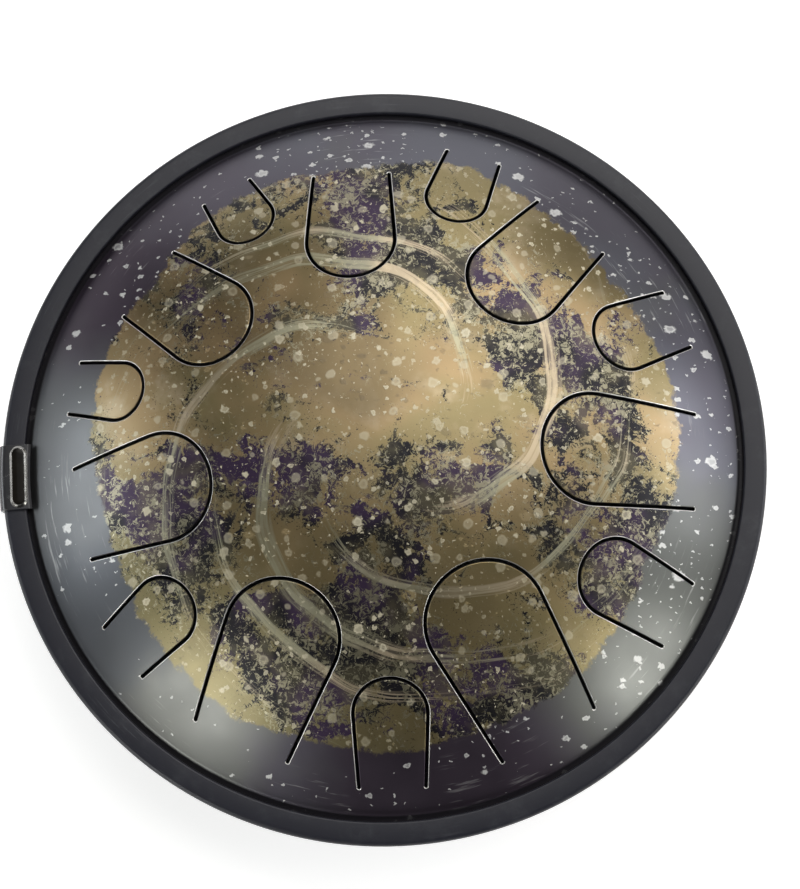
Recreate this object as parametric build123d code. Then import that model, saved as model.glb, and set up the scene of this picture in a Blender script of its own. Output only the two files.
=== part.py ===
from build123d import *
import math
import os

# A steel tongue drum in millimetres, +Z up, standing on its feet at z = 0, with the axis of the drum on Z.
# Bearings are degrees about +Z from +X, seen from above; the player sits on the -Y side.

# Shells
DOME_HEIGHT = 55.0       # top shell, flange to crown
BOWL_DEPTH = 58.0        # bottom shell, flange to flat base
BASE_RADIUS = 72.0       # flat of the bottom shell
RIM_RADIUS = 167.0       # where each shell bends out into its flange
RIM_FILLET = 6.0         # outside radius of that bend
FLANGE_WIDTH = 8.0       # flat flange, bend to edge
SHEET = 1.6              # steel of both shells
PORT_RADIUS = 38.0       # sound port in the base
SEAM = 0.5               # adhesive between the two flanges
SEAM_INSET = 0.6         # adhesive kept back from both flange edges

# Rubber band round the flanges
BAND_LEG = 2.6           # rubber above and below the flanges
BAND_WEB = 2.8           # rubber outside the flange edge
BAND_FIT = 0.2           # slack between flange edge and rubber, and between lip and bend
BAND_EDGE_ROUND = 2.4    # rounding of the band's outer edges
BAND_LIP_ROUND = 0.9     # rounding of its lips
BAND_JOINT = 0.8         # gap where the ends of the band meet

# Clip over the band joint, with a bare plate on it
CLIP_ANGLE = 183.4
CLIP_LENGTH = 30.6       # along the rim, between its square ends
CLIP_WALL = 1.7
CLIP_OVERHANG = 2.9      # reach past the band's lips
CLIP_ROUND = 0.8         # rounding of its inner edges
PLATE_LENGTH = 29.2
PLATE_WIDTH = 8.2
PLATE_REACH = 2.3        # middle of the plate, out from the band's lips
PLATE_HEIGHT = 1.0
BEZEL_WIDTH = 1.3
BEZEL_BEVEL = 0.5        # bevel of its outer edge
INLAY_DEPTH = 0.6        # recess for the inlay
INLAY_FIT = 0.1          # slack round the inlay

# Tongues, lowest note first: seven long ones, then seven short ones between them
TONGUE_LENGTH = 90.0     # longest tongue, slot ends to slot tip
TONGUE_WIDTH = 54.0      # the same tongue, across its tip
LOW_ROOT_INSET = 17.0    # root of the lowest tongue, in from the rim
LOW_ROOT_STEP = 3.2      # each higher long tongue has its root this much further in
HIGH_ROOT_INSET = 12.6   # the same two sizes for the short tongues
HIGH_ROOT_STEP = 1.6
SLOT = 1.5               # width of the cut slots
ROOT_KERF = 0.05         # parting gap at the root, where a tongue flexes
TONGUE_ANGLES = (300, 244, 357.5, 192, 50, 144.5, 97.5, 330, 272, 24, 218, 73, 168, 120.5)
TONGUE_LEAN_ANGLES = (0, 2, 0, 1, -1, -1, -6, 3, -1, 1, 1, -1, 1, 0)
LENGTH_SHARES = (1, 0.9, 0.87, 0.775, 0.755, 0.705, 0.675, 0.63, 0.6, 0.555, 0.52, 0.5, 0.455, 0.415)
WIDTH_SHARES = (1, 0.96, 0.92, 0.9, 0.825, 0.8, 0.745, 0.645, 0.61, 0.585, 0.58, 0.525, 0.505, 0.505)
LOW_COUNT = 7
LOW_ROOT_SHARE = 0.88    # width at the root over width at the tip, long tongues
HIGH_ROOT_SHARE = 0.91   # the same for the short ones

# Feet and their fasteners
FOOT_COUNT = 4
FOOT_ANGLE = 45.0
FOOT_MARGIN = 2.0        # flat of the base left outside a foot
FOOT_RADIUS = 11.0       # at the shell
FOOT_TREAD_RADIUS = 9.5  # at the floor
FOOT_HEIGHT = 12.0
FOOT_ROUND = 1.2
SCREW_RADIUS = 2.0
SCREW_HEAD_RADIUS = 3.8
SCREW_HEAD_HEIGHT = 2.8
SCREW_SOCKET_RADIUS = 1.6
SCREW_SEAT = 5.0         # rubber between screw head and shell
SCREW_TAIL = 1.5         # screw beyond the nut
HOLE_FIT = 0.2           # slack round the screw in foot, shell and washer
HEAD_FIT = 0.4           # slack round the screw head
WASHER_RADIUS = 5.0
WASHER_THICKNESS = 1.0
NUT_FLATS = 7.0
NUT_HEIGHT = 3.2
NUT_FIT = 0.05           # slack round the screw in the nut

# Levels and radii that follow from them
FLANGE_RADIUS = RIM_RADIUS + FLANGE_WIDTH
BAND_RADIUS = FLANGE_RADIUS + BAND_FIT + BAND_WEB
LIP_RADIUS = RIM_RADIUS + BAND_FIT
LOW_FLANGE_Z = FOOT_HEIGHT + BOWL_DEPTH
SEAM_Z = LOW_FLANGE_Z + SHEET
TOP_SHELL_Z = SEAM_Z + SEAM
TOP_FLANGE_Z = TOP_SHELL_Z + SHEET
BASE_INSIDE_Z = FOOT_HEIGHT + SHEET
FOOT_RING_RADIUS = BASE_RADIUS - FOOT_MARGIN - FOOT_RADIUS
DOME_SLOPE = 2 * math.atan2(DOME_HEIGHT, RIM_RADIUS)
DOME_RADIUS = DOME_HEIGHT / (1 - math.cos(DOME_SLOPE)) - RIM_FILLET
CUT_REACH = TONGUE_LENGTH / 4
GROUNDED = (Align.CENTER, Align.CENTER, Align.MIN)


def ring(outer, inner, height):
    """Flat ring standing on z = 0."""
    return Cylinder(outer, height, align=GROUNDED) - Cylinder(inner, height, align=GROUNDED)


def turned(section, arc=360.0):
    """Solid of revolution about Z from a section drawn as (radius, height)."""
    return revolve(Plane.XZ * section, Axis.Z, arc)


def dish(height, flat_radius, open_radius):
    """Pressed dish with a flange: outer face of the flange at z = 0, crown above it."""
    slope = 2 * math.atan2(height, RIM_RADIUS - flat_radius)
    wall = height / (1 - math.cos(slope)) - RIM_FILLET

    def bend(angle, depth):
        radius = RIM_FILLET + depth
        return (RIM_RADIUS - radius * math.sin(angle), RIM_FILLET - radius * math.cos(angle))

    def side(angle, depth):
        radius = wall - depth
        return (flat_radius + radius * math.sin(angle), height - wall + radius * math.cos(angle))

    edges = []
    for depth in (0, SHEET):
        edges.append(Line((FLANGE_RADIUS, -depth), bend(0, depth)))
        edges.append(ThreePointArc(bend(0, depth), bend(slope / 2, depth), bend(slope, depth)))
        edges.append(ThreePointArc(side(slope, depth), side(slope / 2, depth), side(0, depth)))
        if open_radius < flat_radius:
            edges.append(Line(side(0, depth), (open_radius, height - depth)))
    edges.append(Line((FLANGE_RADIUS, 0), (FLANGE_RADIUS, -SHEET)))
    edges.append(Line((open_radius, height), (open_radius, height - SHEET)))
    return turned(make_face(edges))


# Tongues: each is drawn on the plane that touches the dome at the tongue's middle, x towards the rim
def tongue_plane(number):
    bearing = math.radians(TONGUE_ANGLES[number])
    lean = math.radians(TONGUE_LEAN_ANGLES[number])
    if number < LOW_COUNT:
        inset = LOW_ROOT_INSET + LOW_ROOT_STEP * number
    else:
        inset = HIGH_ROOT_INSET + HIGH_ROOT_STEP * (number - LOW_COUNT)
    half_length = TONGUE_LENGTH * LENGTH_SHARES[number] / 2
    tilt = math.asin((RIM_RADIUS - inset) / DOME_RADIUS) - math.asin(half_length / DOME_RADIUS)
    normal = Vector(math.sin(tilt) * math.cos(bearing), math.sin(tilt) * math.sin(bearing), math.cos(tilt))
    down = Vector(math.cos(tilt) * math.cos(bearing), math.cos(tilt) * math.sin(bearing), -math.sin(tilt))
    across = normal.cross(down)
    dome_centre = Vector(0, 0, TOP_FLANGE_Z + DOME_HEIGHT - DOME_RADIUS)
    return Plane(
        origin=dome_centre + normal * DOME_RADIUS,
        x_dir=down * math.cos(lean) + across * math.sin(lean),
        z_dir=normal,
    )


def tongue_sizes(number):
    """Length, tip width and root width of a tongue, on the middle line of its slot."""
    root_share = LOW_ROOT_SHARE if number < LOW_COUNT else HIGH_ROOT_SHARE
    tip_width = TONGUE_WIDTH * WIDTH_SHARES[number]
    return TONGUE_LENGTH * LENGTH_SHARES[number], tip_width, tip_width * root_share


def paddle(number, grow, root_gap):
    """Tongue outline: a round tip and straight sides to the root line, grown outwards all round."""
    length, tip_width, root_width = tongue_sizes(number)
    tip = Pos(tip_width / 2 - length / 2, 0) * Circle(tip_width / 2 + grow)
    root_x = (length - SLOT) / 2 + root_gap
    half = root_width / 2 + grow
    return make_hull([tip.edge(), Line((root_x, -half), (root_x, half)).edge()])


def slot_ends(number):
    length, tip_width, root_width = tongue_sizes(number)
    root_x = (length - SLOT) / 2
    return [Pos(root_x, side * root_width / 2) * Circle(SLOT / 2) for side in (-1, 1)]


def prism(number, sketch):
    return extrude(tongue_plane(number) * sketch, CUT_REACH, both=True)


def tongue(number, blank):
    return blank & prism(number, paddle(number, -SLOT / 2, 0))


def opening(number):
    """What is cut out of the top shell for a tongue and its slot."""
    return prism(number, paddle(number, SLOT / 2, ROOT_KERF) + slot_ends(number))


def dome_blank():
    return Pos(0, 0, TOP_FLANGE_Z) * dish(DOME_HEIGHT, 0, 0)


def top_shell(blank):
    return blank - [opening(number) for number in range(len(TONGUE_ANGLES))]


# Bottom shell, seam and band
def foot_places():
    return PolarLocations(FOOT_RING_RADIUS, FOOT_COUNT, FOOT_ANGLE).locations


def bottom_shell():
    bowl = Pos(0, 0, LOW_FLANGE_Z) * mirror(dish(BOWL_DEPTH, BASE_RADIUS, PORT_RADIUS), Plane.XY)
    hole = Cylinder(SCREW_RADIUS + HOLE_FIT, 4 * SHEET)
    return bowl - [place * Pos(0, 0, FOOT_HEIGHT) * hole for place in foot_places()]


def flange_seal():
    return Pos(0, 0, SEAM_Z) * ring(FLANGE_RADIUS - SEAM_INSET, RIM_RADIUS + SEAM_INSET, SEAM)


def band_block():
    """Section of the band before its groove is cut."""
    width = BAND_RADIUS - LIP_RADIUS
    height = TOP_FLANGE_Z - LOW_FLANGE_Z + 2 * BAND_LEG
    block = Pos((BAND_RADIUS + LIP_RADIUS) / 2, (TOP_FLANGE_Z + LOW_FLANGE_Z) / 2) * Rectangle(width, height)
    block = fillet(block.vertices().group_by(Axis.X)[-1], BAND_EDGE_ROUND)
    return fillet(block.vertices().group_by(Axis.X)[0], BAND_LIP_ROUND)


def rim_band():
    depth = FLANGE_RADIUS + BAND_FIT - LIP_RADIUS
    groove = Pos(LIP_RADIUS, LOW_FLANGE_Z) * Rectangle(
        2 * depth, TOP_FLANGE_Z - LOW_FLANGE_Z, align=(Align.CENTER, Align.MIN)
    )
    joint = Pos(BAND_RADIUS, 0, SEAM_Z) * Box(BAND_RADIUS, BAND_JOINT, BOWL_DEPTH)
    return turned(band_block() - groove) - Rot(0, 0, CLIP_ANGLE) * joint


# Clip and plate
def rim_clip():
    """Bent channel of even wall round the band, cut square at both ends."""
    inner = LIP_RADIUS - CLIP_OVERHANG
    outer = BAND_RADIUS + CLIP_WALL
    low = LOW_FLANGE_Z - BAND_LEG - CLIP_WALL
    high = TOP_FLANGE_Z + BAND_LEG + CLIP_WALL
    block = Pos(inner, low) * Rectangle(outer - inner, high - low, align=(Align.MIN, Align.MIN))
    block = fillet(block.vertices().group_by(Axis.X)[-1], BAND_EDGE_ROUND + CLIP_WALL)
    block = fillet(block.vertices().group_by(Axis.X)[0], CLIP_ROUND)
    reach = BAND_RADIUS - BAND_EDGE_ROUND - inner
    gap = high - low - 2 * CLIP_WALL
    mouth = Pos(inner, low + CLIP_WALL) * Rectangle(2 * reach, gap, align=(Align.CENTER, Align.MIN))
    arc = math.degrees(2 * CLIP_LENGTH / BAND_RADIUS)
    bent = Rot(0, 0, -arc / 2) * turned(block - mouth - band_block(), arc)
    ends = Pos(BAND_RADIUS, 0, SEAM_Z) * Box(BAND_RADIUS, CLIP_LENGTH, BOWL_DEPTH)
    return Rot(0, 0, CLIP_ANGLE) * (bent & ends)


def plate_place():
    return Rot(0, 0, CLIP_ANGLE) * Pos(LIP_RADIUS + PLATE_REACH, 0, TOP_FLANGE_Z + BAND_LEG + CLIP_WALL)


def capsule(length, width):
    return SlotOverall(length, width, rotation=90)


def plate_frame():
    body = extrude(capsule(PLATE_LENGTH, PLATE_WIDTH), PLATE_HEIGHT)
    body = chamfer(body.edges().group_by(Axis.Z)[-1], BEZEL_BEVEL)
    recess = extrude(capsule(PLATE_LENGTH - 2 * BEZEL_WIDTH, PLATE_WIDTH - 2 * BEZEL_WIDTH), INLAY_DEPTH)
    return plate_place() * (body - Pos(0, 0, PLATE_HEIGHT - INLAY_DEPTH) * recess)


def plate_inlay():
    margin = 2 * (BEZEL_WIDTH + INLAY_FIT)
    inlay = extrude(capsule(PLATE_LENGTH - margin, PLATE_WIDTH - margin), INLAY_DEPTH)
    return plate_place() * Pos(0, 0, PLATE_HEIGHT - INLAY_DEPTH) * inlay


# Feet and fasteners, each drawn on the Z axis and then placed
def foot():
    body = Cone(FOOT_TREAD_RADIUS, FOOT_RADIUS, FOOT_HEIGHT, align=GROUNDED)
    body = fillet(body.edges().group_by(Axis.Z)[0], FOOT_ROUND)
    bore = Pos(0, 0, FOOT_HEIGHT / 2) * Cylinder(SCREW_RADIUS + HOLE_FIT, FOOT_HEIGHT)
    well = Cylinder(SCREW_HEAD_RADIUS + HEAD_FIT, 2 * (FOOT_HEIGHT - SCREW_SEAT))
    return body - bore - well


def foot_screw():
    length = SCREW_SEAT + SHEET + WASHER_THICKNESS + NUT_HEIGHT + SCREW_TAIL
    head = Cylinder(SCREW_HEAD_RADIUS, SCREW_HEAD_HEIGHT, align=(Align.CENTER, Align.CENTER, Align.MAX))
    head = fillet(head.edges().group_by(Axis.Z)[0], SCREW_HEAD_HEIGHT / 3)
    socket = extrude(RegularPolygon(SCREW_SOCKET_RADIUS, 6), SCREW_HEAD_HEIGHT / 2)
    shank = Cylinder(SCREW_RADIUS, length, align=GROUNDED)
    return Pos(0, 0, FOOT_HEIGHT - SCREW_SEAT) * (head + shank - Pos(0, 0, -SCREW_HEAD_HEIGHT) * socket)


def foot_washer():
    return Pos(0, 0, BASE_INSIDE_Z) * ring(WASHER_RADIUS, SCREW_RADIUS + HOLE_FIT, WASHER_THICKNESS)


def foot_nut():
    bore = RegularPolygon(NUT_FLATS / 2, 6, major_radius=False) - Circle(SCREW_RADIUS + NUT_FIT)
    return Pos(0, 0, BASE_INSIDE_Z + WASHER_THICKNESS) * extrude(bore, NUT_HEIGHT)


def at_feet(shape):
    return Compound(children=[place * shape for place in foot_places()])


os.makedirs("parts", exist_ok=True)
blank = dome_blank()
nodes = {
    "top_shell": top_shell(blank),
    "bottom_shell": bottom_shell(),
    "flange_seal": flange_seal(),
    "rim_band": rim_band(),
    "rim_clip": rim_clip(),
    "plate_frame": plate_frame(),
    "plate_inlay": plate_inlay(),
    "foot_screws": at_feet(foot_screw()),
    "foot_washers": at_feet(foot_washer()),
    "foot_nuts": at_feet(foot_nut()),
}
for number in range(len(TONGUE_ANGLES)):
    nodes[f"tongue_{number + 1:02d}"] = tongue(number, blank)
for number, place in enumerate(foot_places()):
    nodes[f"foot_{number + 1}"] = place * foot()
for name, shape in nodes.items():
    export_step(shape, f"parts/{name}.step")
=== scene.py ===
import math
from functools import partialmethod

import bpy
import numpy as np
from mathutils import Matrix, Vector
from mathutils.geometry import delaunay_2d_cdt


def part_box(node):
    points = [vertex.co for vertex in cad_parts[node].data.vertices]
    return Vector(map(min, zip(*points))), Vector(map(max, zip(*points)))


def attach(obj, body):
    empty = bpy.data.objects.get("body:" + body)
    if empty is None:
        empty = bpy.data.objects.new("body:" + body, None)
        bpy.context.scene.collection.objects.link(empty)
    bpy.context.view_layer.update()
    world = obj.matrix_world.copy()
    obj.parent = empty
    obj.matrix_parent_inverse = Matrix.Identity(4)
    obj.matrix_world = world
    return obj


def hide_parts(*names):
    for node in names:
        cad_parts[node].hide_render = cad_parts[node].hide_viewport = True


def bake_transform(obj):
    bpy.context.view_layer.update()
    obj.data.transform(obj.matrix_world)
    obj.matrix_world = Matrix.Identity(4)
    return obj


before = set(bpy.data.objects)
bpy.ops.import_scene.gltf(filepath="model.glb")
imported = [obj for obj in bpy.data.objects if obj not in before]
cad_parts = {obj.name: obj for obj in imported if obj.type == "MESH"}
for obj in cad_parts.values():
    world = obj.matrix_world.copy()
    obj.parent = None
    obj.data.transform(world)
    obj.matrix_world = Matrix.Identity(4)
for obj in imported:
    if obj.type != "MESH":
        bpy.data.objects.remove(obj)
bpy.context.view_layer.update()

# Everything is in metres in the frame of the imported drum: +Z up along its axis, its feet on z = 0.
FULL_TURN = 2 * math.pi

# Shell sizes, from the frame where it shows them
shell_low, shell_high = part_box("top_shell")
bowl_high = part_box("bottom_shell")[1]
SHEET = 0.0016
RIM_FILLET = 0.006
FLANGE_WIDTH = 0.008
FLANGE_RADIUS = shell_high.x
RIM_RADIUS = FLANGE_RADIUS - FLANGE_WIDTH
FLANGE_Z = shell_low.z + SHEET
LOW_FLANGE_Z = bowl_high.z - SHEET
CROWN_Z = shell_high.z
DOME_HEIGHT = CROWN_Z - FLANGE_Z
DOME_SLOPE = 2 * math.atan2(DOME_HEIGHT, RIM_RADIUS)
DOME_RADIUS = DOME_HEIGHT / (1 - math.cos(DOME_SLOPE)) - RIM_FILLET
DOME_CENTRE = Vector((0, 0, CROWN_Z - DOME_RADIUS))
DOME_EDGE = DOME_RADIUS * math.sin(DOME_SLOPE)

# Tongues and slots
TONGUE_LENGTH = 0.090
TONGUE_WIDTH = 0.054
LOW_ROOT_INSET = 0.017
LOW_ROOT_STEP = 0.0032
HIGH_ROOT_INSET = 0.0126
HIGH_ROOT_STEP = 0.0016
SLOT = 0.0015
TONGUE_ANGLES = (300, 244, 357.5, 192, 50, 144.5, 97.5, 330, 272, 24, 218, 73, 168, 120.5)
TONGUE_LEAN_ANGLES = (0, 2, 0, 1, -1, -1, -6, 3, -1, 1, 1, -1, 1, 0)
LENGTH_SHARES = (1, 0.9, 0.87, 0.775, 0.755, 0.705, 0.675, 0.63, 0.6, 0.555, 0.52, 0.5, 0.455, 0.415)
WIDTH_SHARES = (1, 0.96, 0.92, 0.9, 0.825, 0.8, 0.745, 0.645, 0.61, 0.585, 0.58, 0.525, 0.505, 0.505)
LOW_COUNT = 7
LOW_ROOT_SHARE = 0.88
HIGH_ROOT_SHARE = 0.91
EDGE_WIDTH = 0.0004  # rounded edge along a slot
EDGE_DROP = 0.0003
EDGE_LEAN = 3.0  # how far that edge turns over
PAINT, BARE, RAW = range(3)

# Band, clip, plate and feet
BAND_LEG = 0.0026
BAND_EDGE_ROUND = 0.0024
BAND_LIP_ROUND = 0.0009
BAND_TUCK = 0.0003  # rounding of the band's lips against the shells
BAND_FIT = 0.0002
BAND_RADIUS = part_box("rim_band")[1].x
BAND_LOW = LOW_FLANGE_Z - BAND_LEG
BAND_HIGH = FLANGE_Z + BAND_LEG
LIP_RADIUS = RIM_RADIUS + BAND_FIT
GROOVE_RADIUS = FLANGE_RADIUS + BAND_FIT
BAND_JOINT = 0.0008
CLIP_ANGLE = math.radians(183.4)
CLIP_LENGTH = 0.0306
CLIP_WALL = 0.0017
CLIP_OVERHANG = 0.0029
CLIP_ROUND = 0.0008
CLIP_END_ROUND = 0.0006
CLIP_END_STEPS = 3
CLIP_END_ANGLE = math.radians(50)
CLIP_LIP_ROUND = 0.0003
CLIP_BROW = 0.0011  # slope above its upper lip
PLATE_LENGTH = 0.0292
PLATE_WIDTH = 0.0082
PLATE_REACH = 0.0023  # middle of the plate, out from the band's lips
PLATE_HEIGHT = 0.001
BEZEL_WIDTH = 0.0013
BEZEL_WALL = 0.00012
BEZEL_RIDGE = 0.00025  # round of the ridge beside the inlay
INLAY_DEPTH = 0.0006
INLAY_FIT = 0.0001
INLAY_DOME = 0.00025  # crown of the enamel
PLATE_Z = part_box("plate_frame")[0].z
FOOT_COUNT = 4
FOOT_TAPER = 0.0015
FOOT_BORE = 0.0022
FOOT_WELL = 0.0042
FOOT_WELL_ROUND = 0.0004
FOOT_ROUND = 0.0012
FOOT_TOP_ROUND = 0.0003
SCREW_SEAT = 0.005
TREAD_GROOVES = 2
TREAD_DEPTH = 0.0006

# Fineness of the meshes
GRID = 0.004
GRID_KEEP = 0.0023  # least distance of a grid point from an outline
INSIDE_EDGES = 1  # the triangulation keeps what lies inside its edges
SAME_POINT = 1e-7
RING_STEPS = 360
BEND_STEPS = 8
LEG_STEPS = 20
TIP_STEPS = 16
END_STEPS = 8
ROOT_STEPS = 14
ARC_STEPS = 6
CLIP_STEPS = 12
CAPSULE_STEPS = 24
DOME_STEPS = 8
FOOT_STEPS = 72
CREASE = 35  # angle between faces that makes an edge sharp, in degrees
BEZEL_CREASE = 40

# Painted field, and painted shade along the band: a dark line where the band's lip shades the rim's bend
FIELD_RADIUS = 0.133
FIELD_FEATHER = 0.0022
BAND_SHADE_RADIUS = 0.1638
BAND_SHADE_WIDTH = 0.0013
BAND_SHADE_STRENGTH = 0.95

# Wandering edges: how far, size of the features, detail, roughness
FIELD_WAVER = (0.018, 0.10, 1)
FIELD_TEAR = (0.013, 0.012, 6, 0.75)
# wandering edge of the clouds of painted sheen and shade in the ground
SHEEN_AND_SHADE_WANDER = (0.05, 0.05, 3, 0.6)
SWEEP_WANDER = (0.009, 0.045, 1)

# Clouds of paint: size, levels where they start and are full, strength, detail, roughness
GROUND_VIOLET = (0.07, 0.38, 0.62, 0.6)
GROUND_SAGE = (0.05, 0.52, 0.75, 0.3, 3, 0.6)
SPLATTER_CLOUDS = (0.05, 0.34, 0.60)
HAIR_CLOUDS = (0.055, 0.50, 0.64, 1.0, 3)
COPPER_CLOUDS = (0.075, 0.36, 0.62, 1.0, 3, 0.55)
CHAMPAGNE_CLOUDS = (0.026, 0.50, 0.75, 0.40, 4, 0.6)
UMBER_CLOUDS = (0.11, 0.48, 0.66, 0.75)
DAB_CLOUDS = (0.022, 0.34, 0.54, 1.0, 3, 0.6)
INK_CLOUDS = (0.04, 0.46, 0.60)
SWEEP_CLOUDS = (0.09, 0.44, 0.56)
CREAM_CLOUDS = (0.05, 0.40, 0.60)

# Painted shade on the gold, darker and duller olive towards the front and the front left: levels where
# it starts and is full, strength
FRONT_PAINTED_SHADE = (0.02, -0.10)
FRONT_PAINTED_SHADE_STRENGTH = 0.75
SIDE_PAINTED_SHADE = (0.06, 0.12)
SIDE_PAINTED_SHADE_STRENGTH = 0.8
FRONT_LEFT = (-0.7, -0.7, 0)
BACK_RIGHT = (0.7, 0.7, 0)

# Sponge marks, from noise of three sizes: size, detail, roughness, curl
CLUSTERS = (0.062,)
PATCHES = (0.015, 3, 0.6, 0.6)
FLAKES = (0.0026, 5, 0.80, 0.75)
STIPPLE = (0.0010, 2, 0.7)
STIPPLE_PULL = 2.4  # how closely the stipple gathers round the dabs
CLUSTER_SHIFT = (6.30, 0.50, 0)
PALE_SHIFT = (0.70, 0.20, 0)
DAB_WEIGHTS = (0.46, 0.30, 0.24)  # of clusters, patches and flakes
PALE_WEIGHTS = (0.22, 0.24, 0.54)
WASH_WEIGHTS = (0.60, 0.40, 0.0)
DAB_LEVELS = (0.512, 0.520)  # where a mark starts and is full
STIPPLE_LEVELS = (0.585, 0.635)
PALE_LEVELS = (0.560, 0.572)
WASH_LEVELS = (0.475, 0.555)
LEAST_DAB = 0.74  # strength of the thinnest dabs
PALE_STRENGTH = 0.8
WASH_STRENGTH = 0.6

# Drops of paint: cell, largest radius, share of the cells that hold one, seed
CREAM_DROPS = (
    (0.0118, 0.0025, 0.42, 1.0),
    (0.0060, 0.0012, 0.46, 5.0),
    (0.0029, 0.00042, 0.50, 9.0),
)
CREAM_SPOTS = (0.0150, 0.0027, 0.70, 11.0)
SPLATTER_DROPS = (
    (0.0118, 0.0026, 0.42, 3.0),
    (0.0060, 0.0013, 0.52, 4.0),
    (0.0034, 0.00052, 0.60, 7.0),
)
LEAST_DROP = 0.3  # smallest drop, as a share of the largest
DROP_EDGE = 0.35
DROP_HOLLOW = 0.5
DROP_WARP = (0.0018, 0.0021)  # size of the ripples, and how far they push
DROP_STREAK = (0.68, 1.0, 1.0)
SPOT_WARP = (0.004, 0.002)
SPOT_STRENGTH = 0.46
LEAST_CREAM = 0.5
LEAST_CROWD = 0.3  # least share of the splatter between its clouds, and at the front
FRONT_CROWD = 0.25
CROWD_RISE = (-0.14, 0.09)
SPLATTER_STRENGTH = 0.9
DRUM_SILVER = 0.85
BOWL_SILVER = 0.6

# Brush sweeps: radius where it starts, outward drift, half width, bearing of its start, turn in degrees
BRUSH_SWEEPS = (
    (0.040, 0.080, 0.0040, 20, 150),
    (0.044, 0.076, 0.0034, 95, 140),
    (0.036, 0.086, 0.0046, 165, 160),
    (0.042, 0.078, 0.0030, 232, 150),
    (0.038, 0.084, 0.0042, 300, 155),
    (0.080, 0.040, 0.0024, 60, 90),
    (0.078, 0.044, 0.0026, 200, 95),
)
SWEEP_STRENGTH = 0.8
SWEEP_FADE_IN = (0.0, 0.30)
SWEEP_FADE_OUT = (1.0, 0.45)
SWEEP_BODY = (0.75, 0.10)
SWEEP_LEVELS = (0.50, 1.40)
BRISTLES = (1.0, 3, 0.65)
BRISTLE_LEVELS = (0.34, 0.66)
BRISTLES_ALONG = 2.2
BRISTLES_ACROSS = 2.6
BRISTLE_SHIFT = 1000  # gives each sweep bristles of its own
BRISTLE_RAGGED = 0.5
BRISTLE_DRY = 0.8

# Dry hairs along the rim: how short they are, and how wide
HAIR_ROUND = 7.0
HAIR_WIDTH = 0.0016
HAIRS = (1.0, 3, 0.6)
HAIR_LEVELS = (0.58, 0.72)
HAIR_STRENGTH = 0.30

# Linear colours
VIOLET = (0.092, 0.081, 0.103)
DEEP_VIOLET = (0.072, 0.054, 0.076)
BLUE_GREY = (0.113, 0.113, 0.135)
SAGE_GREY = (0.117, 0.121, 0.111)
SLATE_GREY = (0.084, 0.089, 0.098)
PEARL_GREY = (0.124, 0.128, 0.130)
SILVER = (0.72, 0.72, 0.70)
UMBER_GOLD = (0.125, 0.096, 0.046)
OLIVE_GOLD = (0.250, 0.203, 0.098)
DULL_OLIVE = (0.170, 0.150, 0.078)
COPPER_GOLD = (0.350, 0.250, 0.130)
CHAMPAGNE = (0.56, 0.46, 0.32)
SAGE = (0.40, 0.385, 0.265)
KHAKI = (0.270, 0.250, 0.150)
INK = (0.011, 0.010, 0.013)
INK_VIOLET = (0.044, 0.026, 0.058)
ASH = (0.33, 0.305, 0.205)
CREAM = (0.56, 0.51, 0.37)
PLASTIC_BLACK = (0.027, 0.027, 0.030)
PLASTIC_WORN = (0.055, 0.055, 0.058)
FLOOR_GREY = (0.90, 0.90, 0.90)
FLOOR_WHITE = (0.93, 0.93, 0.925)
WHITE = (1.0, 1.0, 1.0)

# Painted sheen and shade in the ground: sage and pearl grey clouds where the ring catches the lamps,
# violet, deep violet and slate grey ones where it lies in shade; middle, reach and colour
PAINTED_SHEEN_AND_SHADE = (
    ((-0.120, 0.100, 0), 0.110, VIOLET),
    ((-0.130, 0.075, 0), 0.055, DEEP_VIOLET),
    ((0.028, -0.156, 0), 0.095, DEEP_VIOLET),
    ((0.130, -0.080, 0), 0.092, SAGE_GREY),
    ((-0.086, -0.112, 0), 0.060, SAGE_GREY),
    ((-0.155, -0.015, 0), 0.085, PEARL_GREY),
    ((-0.128, -0.074, 0), 0.050, SLATE_GREY),
)
SHEEN_AND_SHADE_CORE = 0.4  # share of its reach where a cloud is full
SHEEN_AND_SHADE_STRENGTH = 0.9

# Surface of the paint: plain values, then what each layer changes
PAINT_METALLIC = 0.88
DAB_METALLIC = -0.12
SPECK_METALLIC_LOSS = 0.35
HAZE = (0.02, 3)
DRUM_ROUGHNESS = 0.31
DRUM_HAZE = 0.13
BOWL_ROUGHNESS = 0.34
BOWL_HAZE = 0.14
DAB_ROUGHNESS = 0.08
SPECK_ROUGHNESS = 0.10
# rougher where the painted shade lies along the band
BAND_SHADE_ROUGHNESS = 0.35
PEEL_SIZE = 0.0011  # fine unevenness of the lacquer
PEEL_HEIGHT = 0.15
SPECK_HEIGHT = 0.6
PAINT_RELIEF = (0.00012, 0.5)  # depth and strength of the bump, here and below

# Surface of metal, rubber and plastic
TARNISH_SIZE = 0.004
TARNISH_CLOUDS = (0.35, 0.70, 1.0, 4, 0.65)  # as above, without their size
TARNISH_ROUGHNESS = 0.15
SCRATCHES = (1.0, 2, 0.6)
SCRATCH_STRETCH = (300, 6000, 2000)
SCRATCH_ROUGHNESS = 0.10
SCRATCH_RELIEF = (0.00001, 0.4)
RUBBER_ROUGHNESS = 0.36
RUBBER_GRAIN_SIZE = 0.0006
RUBBER_GRAIN = 0.10
RUBBER_RELIEF = (0.00006, 0.30)
SCUFFS = (1.0, 4, 0.65)
SCUFF_LEVELS = (0.56, 0.74)
SCUFF_CLOUDS = (0.06, 0.48, 0.66)
SCUFF_ROUND = 9.0  # how short scuffs are round the drum, and how fine across
SCUFF_ACROSS = 900.0
SCUFF_STRENGTH = 0.6
SCUFF_ROUGHNESS = 0.08
SCUFF_HEIGHT = 0.6
DUST_CLOUDS = (0.012, 0.48, 0.78, 1.0, 5, 0.7)
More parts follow.
